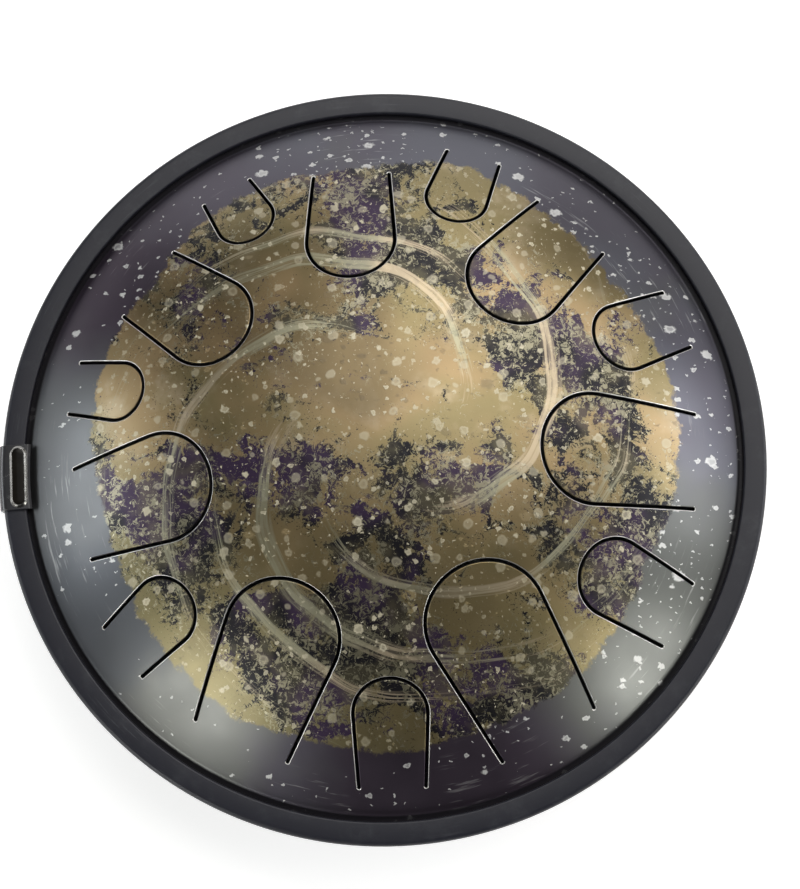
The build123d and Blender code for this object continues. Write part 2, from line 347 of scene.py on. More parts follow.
PLASTIC_ROUGHNESS = 0.20
PLASTIC_GRAIN_SIZE = 0.0005
PLASTIC_GRAIN = 0.06
PLASTIC_RELIEF = (0.00003, 0.3)
WEAR_CLOUDS = (0.007, 0.52, 0.75, 1.0, 4, 0.65)
WEAR_STRENGTH = 0.5
WEAR_ROUGHNESS = 0.08

# Floor
FLOOR_REACH = 40.0
FLOOR_CLOUDS = (0.35, 3)
FLOOR_ROUGHNESS = 0.6
FLOOR_ROUGHNESS_RANGE = 0.1
FLOOR_GLOW = 0.5
FLOOR_SHADOW_CORE = 0.07  # painted shadow: no glow below the drum's middle, all of it beyond the painted field
FLOOR_SHADOW_EDGE = 0.15
FLOOR_LIFT = 0.08  # added far off, so that the floor meets the backdrop
FLOOR_NEAR = 0.8
FLOOR_FAR = 6.0

# Camera, at the photo's viewing angle
RIM_CENTRE = Vector((0, 0, (FLANGE_Z + LOW_FLANGE_Z) / 2))
CAMERA_DISTANCE = 0.8
CAMERA_ELEVATION = math.radians(79.43)
CAMERA_TURN = math.radians(9.14)
CAMERA_LENS = 69.35
CAMERA_SHIFT = (0.0199, 0.0130)

# Soft boxes: bearing and elevation in degrees, distance, width and height, power, colour
SOFT_BOXES = {
    "key": (62, 52, 4.0, 4.5, 3.9, 120, (1.0, 0.98, 0.95)),
    "top": (95, 72, 4.5, 3.0, 3.0, 18, WHITE),
    "left": (177, 22, 3.3, 1.8, 0.9, 27, (0.92, 0.97, 1.0)),
    "right": (8, 22, 3.3, 1.8, 1.0, 29, (0.97, 0.98, 1.0)),
    "low_left": (226, 27, 3.3, 1.3, 1.1, 31, (1.0, 1.0, 0.96)),
    "low_right": (327, 19, 3.3, 1.1, 1.1, 27, (1.0, 1.0, 0.95)),
    "back": (96, 13, 4.2, 4.8, 1.2, 19, (0.97, 0.97, 1.0)),
}

# Backdrop: pale near the horizon, dim overhead, by the height of the direction
HORIZON_LIGHT = 0.62
ZENITH_LIGHT = 0.03
HORIZON_TOP = 0.03
ZENITH_START = 0.18


class Skin:
    """Points and faces of one piece. A face may carry its own corner normals."""

    def __init__(self):
        self.points = []
        self.faces = []
        self.finishes = []
        self.normals = []

    def add(self, points):
        start = len(self.points)
        self.points.extend(Vector(point) for point in points)
        return list(range(start, len(self.points)))

    def face(self, corners, finish=0, normals=None):
        self.faces.append(corners)
        self.finishes.append(finish)
        self.normals.append(normals or [(0, 0, 0)] * len(corners))

    def strip(self, row, following, finish=0, closed=True):
        """Quads between two rows of as many points."""
        count = len(row)
        for place in range(count if closed else count - 1):
            after = (place + 1) % count
            self.face([row[place], row[after], following[after], following[place]], finish)

    def build(self, name, materials, crease=CREASE):
        mesh = bpy.data.meshes.new(name)
        mesh.from_pydata(self.points, [], self.faces)
        for material in materials:
            mesh.materials.append(material)
        mesh.polygons.foreach_set("material_index", self.finishes)
        mesh.shade_smooth()
        mesh.set_sharp_from_angle(angle=math.radians(crease))
        mesh.normals_split_custom_set([normal for face in self.normals for normal in face])
        return add_object(name, mesh)


def add_object(name, data):
    made = bpy.data.objects.new(name, data)
    bpy.context.scene.collection.objects.link(made)
    return made


def ring_points(radius, height, steps=RING_STEPS, start=0.0, sweep=FULL_TURN):
    count = steps if sweep == FULL_TURN else steps + 1
    turns = [start + sweep * step / steps for step in range(count)]
    return [(radius * math.cos(turn), radius * math.sin(turn), height) for turn in turns]


def rounded(corners):
    """Closed outline from (x, y, radius) corners, in order, with arcs at the rounded ones."""
    outline = []
    count = len(corners)
    for place, (x, y, radius) in enumerate(corners):
        corner = Vector((x, y))
        back = (Vector(corners[place - 1][:2]) - corner).normalized()
        ahead = (Vector(corners[(place + 1) % count][:2]) - corner).normalized()
        if radius == 0:
            outline.append(corner)
            continue
        half = back.angle(ahead) / 2
        middle = corner + (back + ahead).normalized() * radius / math.sin(half)
        first = corner + back * radius / math.tan(half) - middle
        last = corner + ahead * radius / math.tan(half) - middle
        turn = first.angle_signed(last)
        for step in range(ARC_STEPS + 1):
            spun = first.copy()
            spun.rotate(Matrix.Rotation(-turn * step / ARC_STEPS, 2))
            outline.append(middle + spun)
    return [(point.x, point.y) for point in outline]


def turned(name, outline, materials, steps=RING_STEPS, start=0.0, sweep=FULL_TURN):
    """A closed (radius, height) outline turned about Z, with flat ends if it isn't a full turn."""
    skin = Skin()
    rows = [skin.add(ring_points(radius, height, steps, start, sweep)) for radius, height in outline]
    lathe_faces(skin, rows, sweep == FULL_TURN)
    return skin.build(name, materials)


def lathe_faces(skin, rows, full):
    """Faces of a turned outline from its rows, with flat ends if they don't close."""
    for row, following in zip(rows, rows[1:] + rows[:1]):
        skin.strip(row, following, closed=full)
    if not full:
        skin.face([row[0] for row in rows])
        skin.face([row[-1] for row in reversed(rows)])


# Outlines of tongues and slots, on the plane that touches the dome at the tongue, x towards the rim
def tongue_axes(number):
    bearing = math.radians(TONGUE_ANGLES[number])
    lean = math.radians(TONGUE_LEAN_ANGLES[number])
    if number < LOW_COUNT:
        inset = LOW_ROOT_INSET + LOW_ROOT_STEP * number
    else:
        inset = HIGH_ROOT_INSET + HIGH_ROOT_STEP * (number - LOW_COUNT)
    half_length = TONGUE_LENGTH * LENGTH_SHARES[number] / 2
    tilt = math.asin((RIM_RADIUS - inset) / DOME_RADIUS) - math.asin(half_length / DOME_RADIUS)
    outward = Vector((math.cos(bearing), math.sin(bearing), 0))
    upward = Vector((0, 0, 1))
    normal = outward * math.sin(tilt) + upward * math.cos(tilt)
    down = outward * math.cos(tilt) - upward * math.sin(tilt)
    along = down * math.cos(lean) + normal.cross(down) * math.sin(lean)
    return along, normal.cross(along), normal


def tongue_sizes(number):
    """Length, width at the tip and width at the root."""
    root_share = LOW_ROOT_SHARE if number < LOW_COUNT else HIGH_ROOT_SHARE
    tip_width = TONGUE_WIDTH * WIDTH_SHARES[number]
    return TONGUE_LENGTH * LENGTH_SHARES[number], tip_width, tip_width * root_share


def slot_edge(number, grow):
    """One edge of a slot, from root corner round the tip to root corner, grown from its middle line."""
    length, tip_width, root_width = tongue_sizes(number)
    root_x = (length - SLOT) / 2
    tip_x = (tip_width - length) / 2
    radius = tip_width / 2 + grow
    half = root_width / 2 + grow
    reach = math.hypot(root_x - tip_x, half)
    touch = math.atan2(half, root_x - tip_x) + math.acos(radius / reach)
    touch_x = tip_x + radius * math.cos(touch)
    touch_y = radius * math.sin(touch)
    side = []
    if grow > 0:
        for step in range(END_STEPS):
            turn = math.pi * (step / END_STEPS - 0.5)
            side.append((root_x + grow * math.cos(turn), root_width / 2 + grow * math.sin(turn)))
    for step in range(LEG_STEPS):
        share = step / LEG_STEPS
        side.append((root_x + (touch_x - root_x) * share, half + (touch_y - half) * share))
    for step in range(TIP_STEPS):
        turn = touch + (math.pi - touch) * step / TIP_STEPS
        side.append((tip_x + radius * math.cos(turn), radius * math.sin(turn)))
    return side + [(tip_x - radius, 0)] + [(x, -y) for x, y in reversed(side)]


def root_line(number):
    """Points inside the root line, from the last corner of a slot's edge back to the first."""
    length, _, root_width = tongue_sizes(number)
    half = root_width / 2 - SLOT / 2 - EDGE_WIDTH
    shares = [2 * step / ROOT_STEPS - 1 for step in range(1, ROOT_STEPS)]
    return [((length - SLOT) / 2, half * share) for share in shares]


def lifted(axes, places, radius):
    """Places of a tongue's plane on the sphere of that radius, straight along the plane's normal."""
    along, across, normal = axes
    return [
        DOME_CENTRE + along * x + across * y + normal * math.sqrt(radius**2 - x * x - y * y)
        for x, y in places
    ]


def inside(places, outline):
    """Which of the places lie inside a closed outline."""
    x, y = places.T
    within = np.zeros(len(places), bool)
    for (x0, y0), (x1, y1) in zip(outline, np.roll(outline, -1, 0)):
        crosses = (y0 > y) != (y1 > y)
        with np.errstate(divide="ignore", invalid="ignore"):
            within ^= crosses & (x < (x1 - x0) * (y - y0) / (y1 - y0) + x0)
    return within


def clear(places, outline):
    """Which of the places keep their distance from an outline's points."""
    gaps = np.hypot(places[:, :1] - outline[:, 0], places[:, 1:] - outline[:, 1])
    return gaps.min(1) > GRID_KEEP


def grid_in(border, holes):
    """Even grid inside a border and outside the holes."""
    low = border.min(0)
    high = border.max(0)
    rows = np.arange(low[1], high[1], GRID * math.sqrt(3) / 2)
    columns = np.arange(low[0] - GRID, high[0], GRID)
    places = np.array([(x + GRID / 2 * (row % 2), y) for row, y in enumerate(rows) for x in columns])
    keep = inside(places, border) & clear(places, border)
    for hole in holes:
        keep &= ~inside(places, hole) & clear(places, hole)
    return places[keep]


def triangles(border, holes):
    """Grid places of a holed area, and its triangles, counted over border, holes and grid."""
    border = np.array(border)
    holes = [np.array(hole) for hole in holes]
    grid = grid_in(border, holes)
    places = [tuple(place) for part in (border, *holes, grid) for place in part]
    edges = []
    start = 0
    for loop in (border, *holes):
        count = len(loop)
        edges.extend((start + place, start + (place + 1) % count) for place in range(count))
        start += count
    points = [Vector(place) for place in places]
    _, _, faces, origins, _, _ = delaunay_2d_cdt(points, edges, [], INSIDE_EDGES, SAME_POINT)
    corners = np.array([[origins[corner][0] for corner in face] for face in faces])
    middles = np.array(places)[corners].mean(1)
    keep = np.ones(len(corners), bool)
    for hole in holes:
        keep &= ~inside(middles, hole)
    return grid, corners[keep].tolist()


def radial(point):
    return (point - DOME_CENTRE).normalized()


def sheet_faces(skin, corners, outer, inner):
    """Both faces of the sheet over the same triangles. Painted outside, bare inside."""
    for triangle in corners:
        a, b, c = [skin.points[outer[corner]] for corner in triangle]
        if (b - a).cross(c - a).dot(a - DOME_CENTRE) < 0:
            triangle = triangle[::-1]
        top = [outer[corner] for corner in triangle]
        low = [inner[corner] for corner in triangle[::-1]]
        skin.face(top, PAINT, [radial(skin.points[corner]) for corner in top])
        skin.face(low, RAW, [-radial(skin.points[corner]) for corner in low])


def slot_faces(skin, surface, wall, under, root, root_under, edge_finish):
    """Rounded edge and wall along a slot, and the parting face at the root. The shell's edge is bare."""
    def face(corners, finish, normals=None):
        if edge_finish == BARE:
            corners = corners[::-1]
            normals = normals and normals[::-1]
        skin.face(corners, finish, normals)

    def rounded_over(top, low):
        up = radial(skin.points[top])
        out = skin.points[low] - skin.points[top]
        out = (out - up * out.dot(up)).normalized()
        return up, (out * EDGE_LEAN + up).normalized()

    for place in range(len(surface) - 1):
        after = place + 1
        up, out = rounded_over(surface[place], wall[place])
        next_up, next_out = rounded_over(surface[after], wall[after])
        face(
            [surface[after], surface[place], wall[place], wall[after]],
            edge_finish,
            [next_up, up, out, next_out],
        )
        face([wall[after], wall[place], under[place], under[after]], RAW)
    line = [surface[-1], *root, surface[0]]
    line_under = [under[-1], *root_under, under[0]]
    for place in range(len(line) - 1):
        corners = [line[place + 1], line[place], line_under[place], line_under[place + 1]]
        if place == 0:
            corners.insert(2, wall[-1])
        if place == len(line) - 2:
            corners.append(wall[0])
        face(corners, RAW)


def tongue_piece(number, materials):
    axes = tongue_axes(number)
    edge = slot_edge(number, -SLOT / 2 - EDGE_WIDTH)
    wall_edge = slot_edge(number, -SLOT / 2)
    line = root_line(number)
    grid, corners = triangles(edge + line, [])
    grid = [tuple(place) for place in grid]
    skin = Skin()
    outer = skin.add(lifted(axes, edge + line + grid, DOME_RADIUS))
    inner = skin.add(lifted(axes, wall_edge + line + grid, DOME_RADIUS - SHEET))
    wall = skin.add(lifted(axes, wall_edge, DOME_RADIUS - EDGE_DROP))
    count = len(edge)
    end = count + len(line)
    sheet_faces(skin, corners, outer, inner)
    slot_faces(skin, outer[:count], wall, inner[:count], outer[count:end], inner[count:end], PAINT)
    name = f"tongue_{number + 1:02d}"
    piece = skin.build(name + "_painted", materials)
    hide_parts(name)
    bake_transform(piece)


def dome_piece(materials):
    skin = Skin()
    circle = ring_points(DOME_EDGE, DOME_CENTRE.z + DOME_RADIUS * math.cos(DOME_SLOPE))
    loops = []
    for number in range(len(TONGUE_ANGLES)):
        axes = tongue_axes(number)
        edge = slot_edge(number, SLOT / 2 + EDGE_WIDTH)
        wall_edge = slot_edge(number, SLOT / 2)
        line = root_line(number)
        loops.append({
            "count": len(edge),
            "outer": lifted(axes, edge + line, DOME_RADIUS),
            "wall": lifted(axes, wall_edge, DOME_RADIUS - EDGE_DROP),
            "inner": lifted(axes, wall_edge + line, DOME_RADIUS - SHEET),
        })
    holes = [[(point.x, point.y) for point in loop["outer"]] for loop in loops]
    grid, corners = triangles([point[:2] for point in circle], holes)
    crown = [
        DOME_CENTRE + Vector((x, y, math.sqrt(DOME_RADIUS**2 - x * x - y * y)))
        for x, y in grid
    ]
    inward = (DOME_RADIUS - SHEET) / DOME_RADIUS
    outer = skin.add(circle)
    inner = skin.add([DOME_CENTRE + (Vector(point) - DOME_CENTRE) * inward for point in circle])
    walls = []
    for loop in loops:
        first = len(outer)
        outer += skin.add(loop["outer"])
        inner += skin.add(loop["inner"])
        walls.append((first, skin.add(loop["wall"])))
    outer += skin.add(crown)
    inner += skin.add([DOME_CENTRE + (point - DOME_CENTRE) * inward for point in crown])
    sheet_faces(skin, corners, outer, inner)
    for loop, (first, wall) in zip(loops, walls):
        edge = slice(first, first + loop["count"])
        line = slice(edge.stop, first + len(loop["outer"]))
        slot_faces(skin, outer[edge], wall, inner[edge], outer[line], inner[line], BARE)
    rim_rows(skin, outer[:RING_STEPS], inner[:RING_STEPS])
    piece = skin.build("top_shell_painted", materials)
    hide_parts("top_shell")
    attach(piece, "drum")


def rim_rows(skin, outer, inner):
    """Bend and flange, from the outer edge of the dome round to its inner edge."""
    def bend(share, depth):
        turn = DOME_SLOPE * (1 - share)
        radius = RIM_FILLET + depth
        return RIM_RADIUS - radius * math.sin(turn), FLANGE_Z + RIM_FILLET - radius * math.cos(turn)

    shares = [step / BEND_STEPS for step in range(1, BEND_STEPS + 1)]
    outline = [bend(share, 0) for share in shares]
    outline += [(FLANGE_RADIUS, FLANGE_Z), (FLANGE_RADIUS, FLANGE_Z - SHEET)]
    painted = len(outline)
    outline += [bend(share, SHEET) for share in reversed(shares)]
    rows = [outer, *[skin.add(ring_points(*place)) for place in outline], inner]
    for place in range(len(rows) - 1):
        skin.strip(rows[place + 1], rows[place], PAINT if place < painted else RAW)


# Pieces on the rim and below
def band_piece(material):
    outline = rounded([
        (LIP_RADIUS, BAND_LOW, BAND_LIP_ROUND),
        (BAND_RADIUS, BAND_LOW, BAND_EDGE_ROUND),
        (BAND_RADIUS, BAND_HIGH, BAND_EDGE_ROUND),
        (LIP_RADIUS, BAND_HIGH, BAND_LIP_ROUND),
        (LIP_RADIUS, FLANGE_Z, BAND_TUCK),
        (GROOVE_RADIUS, FLANGE_Z, 0),
        (GROOVE_RADIUS, LOW_FLANGE_Z, 0),
        (LIP_RADIUS, LOW_FLANGE_Z, BAND_TUCK),
    ])
    gap = BAND_JOINT / BAND_RADIUS
    start = CLIP_ANGLE + gap / 2
    piece = turned("rim_band_rubber", outline, [material], RING_STEPS, start, FULL_TURN - gap)
    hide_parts("rim_band")
    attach(piece, "drum")


def clip_piece(material):
    """Bent channel of even wall round the band, square at both ends."""
    inner = LIP_RADIUS - CLIP_OVERHANG
    outer = BAND_RADIUS + CLIP_WALL
    low = BAND_LOW - CLIP_WALL
    high = BAND_HIGH + CLIP_WALL
    outline = rounded([
        (inner, low, CLIP_ROUND),
        (outer, low, BAND_EDGE_ROUND + CLIP_WALL),
        (outer, high, BAND_EDGE_ROUND + CLIP_WALL),
        (inner + CLIP_BROW, high, CLIP_ROUND),
        (inner, high - CLIP_BROW, CLIP_LIP_ROUND),
        (inner, BAND_HIGH, CLIP_LIP_ROUND),
        (BAND_RADIUS, BAND_HIGH, BAND_EDGE_ROUND),
        (BAND_RADIUS, BAND_LOW, BAND_EDGE_ROUND),
        (inner, BAND_LOW, CLIP_LIP_ROUND),
    ])
    skin = Skin()
    rows = []
    for radius, height in outline:
        half = math.asin(CLIP_LENGTH / 2 / radius)
        rows.append(skin.add(ring_points(radius, height, CLIP_STEPS, CLIP_ANGLE - half, 2 * half)))
    lathe_faces(skin, rows, False)
    piece = skin.build("rim_clip_moulded", [material])
    edges = piece.modifiers.new("rounded ends", "BEVEL")
    edges.width = CLIP_END_ROUND
    edges.segments = CLIP_END_STEPS
    edges.limit_method = "ANGLE"
    edges.angle_limit = CLIP_END_ANGLE
    edges.harden_normals = True
    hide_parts("rim_clip")
    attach(piece, "drum")


def capsule(length, width, height):
    """Points of a level capsule outline on the clip, long way along the rim."""
    middle = LIP_RADIUS + PLATE_REACH
    radius = width / 2
    straight = length / 2 - radius
    points = []
    for end, start in ((1, 0), (-1, math.pi)):
        for step in range(CAPSULE_STEPS + 1):
            turn = math.pi * step / CAPSULE_STEPS + start
            out = middle + radius * math.cos(turn)
            along = end * straight + radius * math.sin(turn)
            points.append(Vector((out, along, height)))
    spin = Matrix.Rotation(CLIP_ANGLE, 3, "Z")
    return [spin @ point for point in points]


def capsule_piece(name, rows, material, crease=CREASE):
    """Solid from capsule rows of (inset, height), bottom first, closed below and above."""
    skin = Skin()
    made = [
        skin.add(capsule(PLATE_LENGTH - 2 * inset, PLATE_WIDTH - 2 * inset, PLATE_Z + height))
        for inset, height in rows
    ]
    for row, following in zip(made, made[1:]):
        skin.strip(row, following)
    skin.face(made[0][::-1])
    skin.face(made[-1])
    return skin.build(name, [material], crease)


def arc_rows(inset, height, radius, start, stop):
    """Rows of a round about (inset, height); a turn of 0 faces out, a quarter turn faces up."""
    turns = [start + (stop - start) * step / ARC_STEPS for step in range(ARC_STEPS + 1)]
    return [(inset - radius * math.cos(turn), height + radius * math.sin(turn)) for turn in turns]


def plate_pieces(bezel_metal, inlay_enamel):
    """Bezel with a ridge that slopes outwards, and the crowned enamel inside it."""
    floor_height = PLATE_HEIGHT - INLAY_DEPTH
    ridge_inset = BEZEL_WIDTH - BEZEL_RIDGE
    ridge_height = PLATE_HEIGHT - BEZEL_RIDGE
    rows = [(0, 0), (0, BEZEL_WALL)]
    rows += arc_rows(ridge_inset, ridge_height, BEZEL_RIDGE, math.pi / 4, math.pi)
    rows += [(BEZEL_WIDTH, floor_height)]
    frame_piece = capsule_piece("plate_frame_polished", rows, bezel_metal, BEZEL_CREASE)
    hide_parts("plate_frame")
    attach(frame_piece, "drum")
    edge = BEZEL_WIDTH + INLAY_FIT
    reach = PLATE_WIDTH / 2 - edge
    rows = [(edge, floor_height), (edge, PLATE_HEIGHT - INLAY_DOME)]
    for step in range(1, DOME_STEPS):
        share = step / DOME_STEPS
        rows.append((edge + reach * share, PLATE_HEIGHT - INLAY_DOME * (1 - share) ** 2))
    inlay = capsule_piece("plate_inlay_enamel", rows, inlay_enamel)
    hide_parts("plate_inlay")
    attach(inlay, "drum")


def foot_piece(number, material):
    """A turned rubber foot with a grooved tread and the screw's well, fitted to its node's box."""
    low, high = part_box(f"foot_{number}")
    middle = (low + high) / 2
    outer = (high.x - low.x) / 2
    height = high.z - low.z
    tread = outer - FOOT_TAPER
    seat = height - SCREW_SEAT
    outline = [
        (FOOT_BORE, height, 0),
        (FOOT_BORE, seat, 0),
        (FOOT_WELL, seat, 0),
        (FOOT_WELL, 0, FOOT_WELL_ROUND),
    ]
    pitch = (tread - FOOT_WELL) / (2 * TREAD_GROOVES + 1)
    for groove in range(TREAD_GROOVES):
        start = FOOT_WELL + pitch * (2 * groove + 1)
        stop = start + pitch
        outline += [(start, 0, 0), (start, TREAD_DEPTH, 0), (stop, TREAD_DEPTH, 0), (stop, 0, 0)]
    outline += [(tread, 0, FOOT_ROUND), (outer, height, FOOT_TOP_ROUND)]
    piece = turned(f"foot_{number}_rubber", rounded(outline), [material], FOOT_STEPS)
    piece.location = (middle.x, middle.y, low.z)
    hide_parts(f"foot_{number}")
    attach(piece, "drum")


# Materials, made of noise fields in each object's own coordinates
class Wire:
    """One output of a material's nodes, with arithmetic. The sign | gives the larger of two fields."""

    def __init__(self, paint, socket):
        self.paint = paint
        self.socket = socket

    def other(self, name):
        """Another output of the same node."""
        return Wire(self.paint, self.socket.node.outputs[name])

    def math(self, operation, *others):
        return self.paint.node("Math", [self, *others], operation=operation)

    def above(self, least):
        """A field from 0 to 1, raised to run from least to 1."""
        return self * (1 - least) + least

    __add__ = partialmethod(math, "ADD")
    __sub__ = partialmethod(math, "SUBTRACT")
    __mul__ = partialmethod(math, "MULTIPLY")
    __truediv__ = partialmethod(math, "DIVIDE")
    __or__ = partialmethod(math, "MAXIMUM")


class Paint:
    """A material under construction. Its fields are flat, as seen from above, or solid."""

    def __init__(self, name, dimensions="3D"):
        self.material = bpy.data.materials.new(name)
        self.material.use_nodes = True
        self.nodes = self.material.node_tree.nodes
        self.links = self.material.node_tree.links
        self.shader = self.nodes["Principled BSDF"]
        self.dimensions = dimensions
        self.place = self.node("TexCoord", [], "Object")

    def node(self, kind, inputs, output=0, **settings):
        made = self.nodes.new("ShaderNode" + kind)
        for name, value in settings.items():
            setattr(made, name, value)
        for key, value in (inputs.items() if isinstance(inputs, dict) else enumerate(inputs)):
            self.plug(made.inputs[key], value)
        return Wire(self, made.outputs[output])

    def plug(self, socket, value):
        if isinstance(value, Wire):
            self.links.new(value.socket, socket)
        elif isinstance(value, tuple) and socket.type == "RGBA":
            socket.default_value = (*value, 1)
        else:
            socket.default_value = value

    def vector(self, operation, inputs, output=0):
        return self.node("VectorMath", inputs, output, operation=operation)

    def flat(self):
        """The place, without its height."""
        return self.vector("MULTIPLY", [self.place, (1, 1, 0)])

    def radius(self):
        """Distance from the axis."""
        return self.vector("LENGTH", [self.flat()], "Value")

    def bearing(self):
        """Angle about the axis."""
        parts = self.node("SeparateXYZ", [self.place])
        return parts.other("Y").math("ARCTAN2", parts)

    def noise(self, size, detail=2.0, roughness=0.5, curl=0.0, place=None, output=0, dimensions=None):
        """Cloudy field from 0 to 1, with features of about that size, drawn into wisps by curl."""
        inputs = {
            "Vector": place or self.place,
            "Scale": 1 / size,
            "Detail": detail,
            "Roughness": roughness,
            "Distortion": curl,
        }
        return self.node("TexNoise", inputs, output, noise_dimensions=dimensions or self.dimensions)

    def ramp(self, value, low, high):
        """0 below low and 1 above high, smooth between; the other way round if high is below low."""
        return self.node("MapRange", [value, low, high], interpolation_type="SMOOTHSTEP")

    def clouds(self, size, low, high, strength=1.0, detail=2.0, roughness=0.5):
        """Patches where noise of that size is above low, full above high."""
        return self.ramp(self.noise(size, detail, roughness), low, high) * strength

    def wander(self, amount, size, detail=2.0, roughness=0.5):
        """Noise about zero, of that amount from end to end."""
        return (self.noise(size, detail, roughness) - 0.5) * amount

    def mix(self, share, first, second):
        """Colour from first to second. The keys are the sockets of a Mix node that are for colours."""
        return self.node("Mix", {0: share, 6: first, 7: second}, 2, data_type="RGBA")

    def warped(self, size, amount):
        """The place, pushed about by noise."""
        push = self.vector("SUBTRACT", [self.noise(size, 1, output=1), (0.5, 0.5, 0.5)])
        push = self.vector("MULTIPLY", [push, (amount, amount, amount)])
        return self.vector("ADD", [self.place, push])

    def drops(self, place, pitch, largest, share, seed, crowd=1.0):
        """Scattered drops, at most one in a cell of that pitch, up to largest in radius, some hollow."""
        reach = largest / pitch
        cells = {"Vector": self.vector("ADD", [place, (seed, seed, 0)]), "Scale": 1 / pitch}
        distance = self.node("TexVoronoi", cells, voronoi_dimensions=self.dimensions)
        chance = self.node("SeparateColor", [distance.other("Color")])
        least = crowd * -share + 1
        grown = self.ramp(chance, least, 1.0).above(LEAST_DROP)
        depth = grown * chance.math("GREATER_THAN", least) * reach - distance
        edge = reach * DROP_EDGE
        hollow = self.ramp(depth, edge, 2 * edge) * chance.other("Green") * DROP_HOLLOW
        return self.ramp(depth, 0.0, edge) - hollow

    def scattered(self, place, kinds, crowd=1.0):
        """Drops of several kinds together."""
        field = self.drops(place, *kinds[0], crowd)
        for kind in kinds[1:]:
            field = field | self.drops(place, *kind, crowd)
        return field

    def bump(self, height, distance, strength):
        return self.node("Bump", {"Height": height, "Distance": distance, "Strength": strength})

    def finish(self, **sockets):
        for name, value in sockets.items():
            title = name.replace("_", " ").title().replace("Ior", "IOR")
            self.plug(self.shader.inputs[title], value)
        return self.material


def ground_layers(paint, jitter):
    """Pearl ground with silver splatter, and painted sheen and shade in fixed clouds. Returns its colour
    and the splatter.
    """
    colour = paint.mix(paint.clouds(*GROUND_VIOLET), BLUE_GREY, VIOLET)
    colour = paint.mix(paint.clouds(*GROUND_SAGE), colour, SAGE_GREY)
    flat = paint.flat()
    wander = paint.wander(*SHEEN_AND_SHADE_WANDER)
    # Painted sheen and shade: paler clouds where the ring catches the lamps, darker ones where it lies
    # in shade
    for middle, reach, tint in PAINTED_SHEEN_AND_SHADE:
        away = paint.vector("DISTANCE", [flat, middle], "Value") + wander
        cloud = paint.ramp(away, reach, reach * SHEEN_AND_SHADE_CORE) * SHEEN_AND_SHADE_STRENGTH
        colour = paint.mix(cloud, colour, tint)
    slant = paint.vector("DOT_PRODUCT", [flat, BACK_RIGHT], "Value")
    crowd = paint.clouds(*SPLATTER_CLOUDS).above(LEAST_CROWD)
    crowd = crowd * paint.ramp(slant, *CROWD_RISE).above(FRONT_CROWD)
    streak = paint.vector("MULTIPLY", [jitter, DROP_STREAK])
    splatter = paint.scattered(streak, SPLATTER_DROPS, crowd)
    return colour, splatter * SPLATTER_STRENGTH | dry_hairs(paint) * HAIR_STRENGTH


def dry_hairs(paint):
    """Faint marks of a dry brush, drawn round the rim."""
    spoke = paint.vector("NORMALIZE", [paint.flat()])
    spoke = paint.vector("MULTIPLY", [spoke, (HAIR_ROUND, HAIR_ROUND, 0)])
    across = paint.node("CombineXYZ", [0.0, 0.0, paint.radius() / HAIR_WIDTH])
    place = paint.vector("ADD", [spoke, across])
    hairs = paint.ramp(paint.noise(*HAIRS, place=place, dimensions="3D"), *HAIR_LEVELS)
    return hairs * paint.clouds(*HAIR_CLOUDS)


def brush_sweep(paint, radius, angle, wander, inner, drift, width, bearing, turn):
    """Dry brush mark that whirls out from the crown, from a bearing through a turn."""
    swept = (angle - math.radians(bearing)).math("WRAP", FULL_TURN, 0.0)
    share = swept / math.radians(turn)
    across = (radius - inner - share * drift + wander) / width
    hair_across = across * BRISTLES_ACROSS + inner * BRISTLE_SHIFT
    hair = paint.node("CombineXYZ", [swept * BRISTLES_ALONG, hair_across, 0.0])
    bristle = paint.ramp(paint.noise(*BRISTLES, place=hair), *BRISTLE_LEVELS)
    fade = paint.ramp(share, *SWEEP_FADE_IN) * paint.ramp(share, *SWEEP_FADE_OUT)
    body = paint.ramp(across.math("ABSOLUTE") - bristle * BRISTLE_RAGGED, *SWEEP_BODY)
    return body * paint.ramp(fade + bristle * BRISTLE_DRY, *SWEEP_LEVELS)


def sponged(paint, cluster, weights, shift):
    """Field whose top reaches are torn sponge marks, gathered in the clusters."""
    place = paint.vector("ADD", [paint.place, shift])
    fields = (cluster, paint.noise(*PATCHES, place=place), paint.noise(*FLAKES, place=place))
    coarse, patches, flakes = [field * weight for field, weight in zip(fields, weights)]
    return coarse + patches + flakes


def gold_clouds(paint):
    """Colour of the bare gold, with painted shade: darker olive towards the front and the front left."""
    gold = paint.mix(paint.clouds(*COPPER_CLOUDS), OLIVE_GOLD, COPPER_GOLD)
    gold = paint.mix(paint.clouds(*CHAMPAGNE_CLOUDS), gold, CHAMPAGNE)
    gold = paint.mix(paint.clouds(*UMBER_CLOUDS), gold, UMBER_GOLD)
    # Painted shade: the gold turns darker olive towards the front, and duller towards the front left
    back = paint.node("SeparateXYZ", [paint.place], "Y")
    gold = paint.mix(paint.ramp(back, *FRONT_PAINTED_SHADE) * FRONT_PAINTED_SHADE_STRENGTH, gold, OLIVE_GOLD)
    slant = paint.vector("DOT_PRODUCT", [paint.place, FRONT_LEFT], "Value")
    return paint.mix(paint.ramp(slant, *SIDE_PAINTED_SHADE) * SIDE_PAINTED_SHADE_STRENGTH, gold, DULL_OLIVE)


